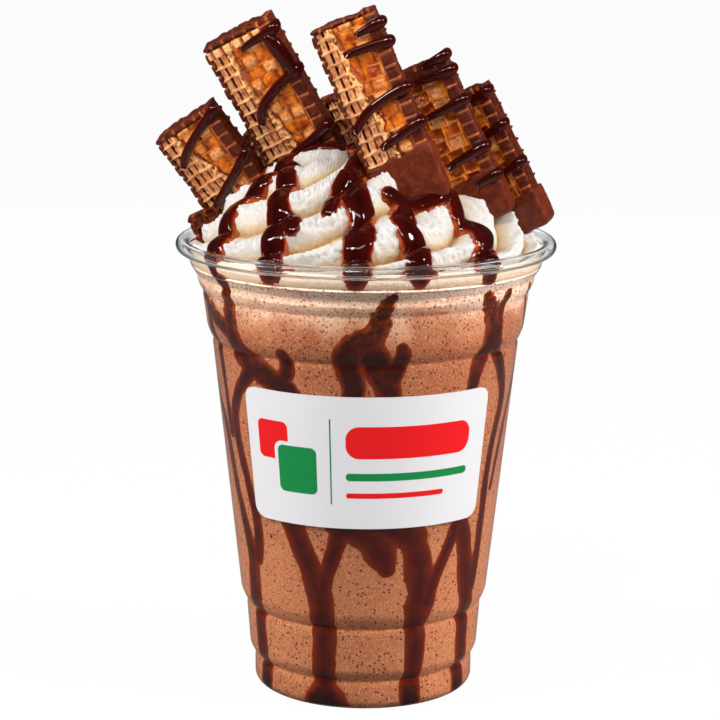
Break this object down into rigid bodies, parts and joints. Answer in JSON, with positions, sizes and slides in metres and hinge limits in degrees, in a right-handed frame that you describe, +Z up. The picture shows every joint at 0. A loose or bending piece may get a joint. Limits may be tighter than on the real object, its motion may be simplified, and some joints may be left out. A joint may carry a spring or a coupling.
{
  "type": "chocolate milkshake",
  "caption": "Chocolate milkshake in a clear takeaway cup, heaped with piped cream, chocolate sauce and caramel wafer bars.",
  "frame": {"origin": "centre of the cup's base, on the surface it stands on", "axes": "+Z up along the cup's axis, the label faces -Y, +X to the viewer's right"},
  "size_m": [0.1036, 0.098, 0.1784],
  "materials": {
    "clear_plastic": "thin clear moulded plastic with a rolled lip",
    "shake": "thick light brown milkshake with fine bubbles and a pale foam top",
    "cream": "soft piped whipped cream, warm white",
    "label": "bare white satin sticker",
    "chocolate": "milk chocolate, satin",
    "wafer": "crisp baked wafer lattice",
    "caramel": "glossy amber caramel over wafer squares",
    "sauce": "wet glossy dark chocolate sauce"
  },
  "bodies": {
    "root": {"cup": "clear_plastic", "shake": "shake", "cream": "cream", "label": "label", "stub_chocolate": "chocolate", "bar_1_chocolate": "chocolate", "bar_1_wafer": "wafer", "bar_1_caramel": "caramel", "bar_2_chocolate": "chocolate", "bar_2_wafer": "wafer", "bar_2_caramel": "caramel", "bar_3_chocolate": "chocolate", "bar_3_wafer": "wafer", "bar_3_caramel": "caramel", "bar_4_chocolate": "chocolate", "bar_4_wafer": "wafer", "bar_4_caramel": "caramel", "bar_5_chocolate": "chocolate", "bar_5_wafer": "wafer", "bar_5_caramel": "caramel", "bar_6_chocolate": "chocolate", "bar_6_wafer": "wafer", "bar_6_caramel": "caramel", "bar_7_chocolate": "chocolate", "bar_7_wafer": "wafer", "bar_7_caramel": "caramel"}
  },
  "joints": []
}
